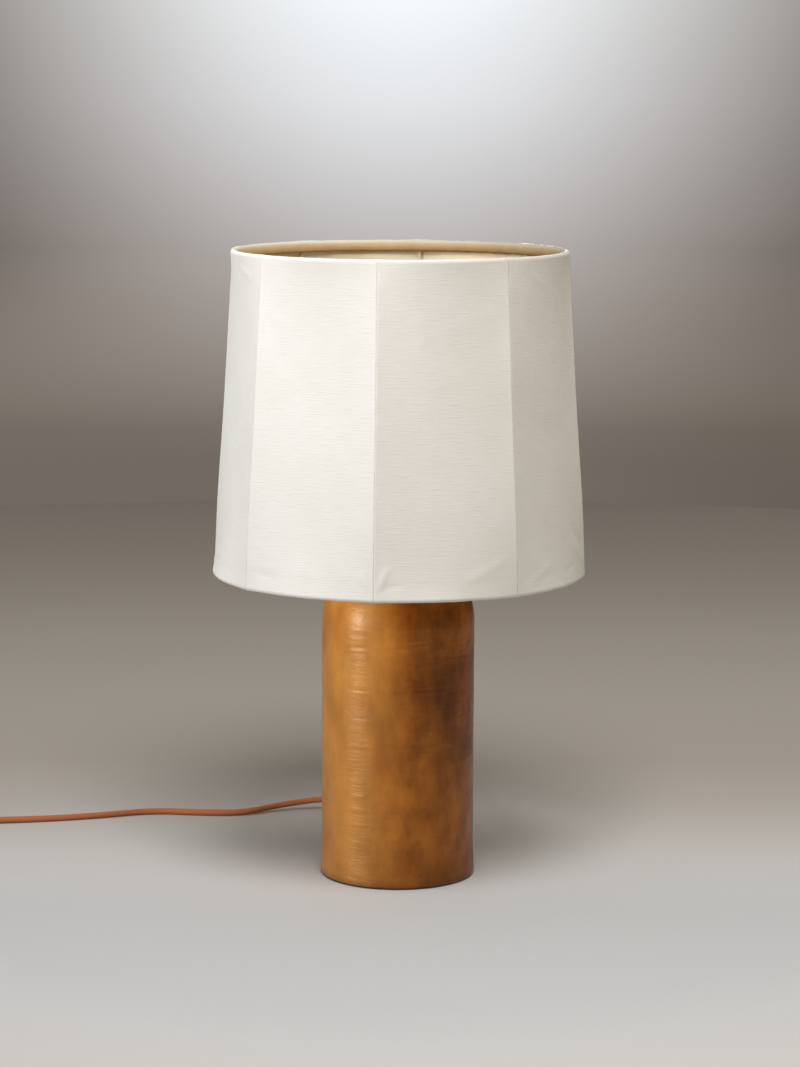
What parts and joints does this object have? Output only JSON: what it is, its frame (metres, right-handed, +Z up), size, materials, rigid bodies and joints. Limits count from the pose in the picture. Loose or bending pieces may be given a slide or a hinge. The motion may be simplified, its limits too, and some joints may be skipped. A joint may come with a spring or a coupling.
{
  "type": "column table lamp",
  "caption": "Table lamp with a leather-wrapped column, a panelled cloth drum shade on a harp, a turn switch and a textile lead.",
  "frame": {"origin": "centre of the felt face that the lamp stands on", "axes": "+Z up the column; -Y is the front, the lead leaves at the back on +Y; +X is to the right seen from the front"},
  "size_m": [0.7682, 0.4397, 0.6011],
  "materials": {
    "felt": "wool felt",
    "iron": "cast, painted black",
    "steel": "zinc plated",
    "wood": "raw turned wood",
    "leather": "vegetable-tanned, caramel patina",
    "brass": "aged, satin",
    "card": "insulating card",
    "holder_block": "unglazed porcelain",
    "wire_jacket": "insulated wire",
    "black_plastic": "moulded, semi-gloss",
    "bulb_white": "inside-frosted white",
    "bulb_metal": "drawn",
    "shade_cloth": "off-white linen and cotton",
    "shade_binding": "folded self cloth",
    "rib_tape": "cream cotton tape over wire",
    "cord_cloth": "braided rust-brown textile over a round lead",
    "tie_strap": "woven strap",
    "blade_metal": "plain brass"
  },
  "bodies": {
    "stand": {"felt_pad": "felt", "base_weight": "iron", "base_screws": "steel", "core_tube": "wood", "bulkhead": "wood", "top_cap": "wood", "leather_wrap": "leather", "leather_top": "leather", "lamp_pipe": "steel", "pipe_nuts": "steel", "vase_cap": "brass", "neck": "brass", "harp_saddle": "brass", "harp": "brass", "harp_stud": "brass", "socket_cap": "brass", "socket_shell": "brass", "socket_liner": "card", "socket_body": "holder_block", "terminal_screws": "brass", "socket_leads": "wire_jacket", "screw_shell": "brass", "centre_contact": "brass", "strain_relief": "black_plastic", "internal_cord": "cord_cloth", "cord_free": "cord_cloth", "cord_coil": "cord_cloth", "coil_tie": "tie_strap", "plug_body": "black_plastic", "plug_blades": "blade_metal"},
    "shade": {"top_ring": "steel", "bottom_ring": "steel", "top_binding": "shade_binding", "bottom_binding": "shade_binding", "rib_1": "rib_tape", "rib_2": "rib_tape", "rib_3": "rib_tape", "rib_4": "rib_tape", "rib_5": "rib_tape", "rib_6": "rib_tape", "rib_7": "rib_tape", "rib_8": "rib_tape", "panel_1": "shade_cloth", "panel_2": "shade_cloth", "panel_3": "shade_cloth", "panel_4": "shade_cloth", "panel_5": "shade_cloth", "panel_6": "shade_cloth", "panel_7": "shade_cloth", "panel_8": "shade_cloth", "spider_arms": "brass", "spider_hub": "brass"},
    "finial": {"finial": "brass"},
    "bulb": {"bulb_glass": "bulb_white", "bulb_base": "bulb_metal", "bulb_contact": "holder_block"},
    "switch": {"switch_shaft": "brass", "switch_knob": "black_plastic"},
    "left_ferrule": {"ferrule_left": "brass"},
    "right_ferrule": {"ferrule_right": "brass"}
  },
  "joints": [
    {"name": "shade_swivel", "type": "hinge", "parent": "stand", "child": "shade", "pos_m": [0, 0, 0.5699], "axis": [0, 0, 1], "continuous": true},
    {"name": "finial_turn", "type": "hinge", "parent": "stand", "child": "finial", "pos_m": [0, 0, 0.578], "axis": [0, 0, 1], "continuous": true},
    {"name": "bulb_turn", "type": "hinge", "parent": "stand", "child": "bulb", "pos_m": [0, 0, 0.35], "axis": [0, 0, 1], "continuous": true},
    {"name": "switch_turn", "type": "hinge", "parent": "stand", "child": "switch", "pos_m": [0, -0.02, 0.3275], "axis": [0, -1, 0], "continuous": true},
    {"name": "left_ferrule_lift", "type": "slide", "parent": "stand", "child": "left_ferrule", "axis": [0, 0, 1], "range_m": [0, 0.012]},
    {"name": "right_ferrule_lift", "type": "slide", "parent": "stand", "child": "right_ferrule", "axis": [0, 0, 1], "range_m": [0, 0.012]}
  ]
}
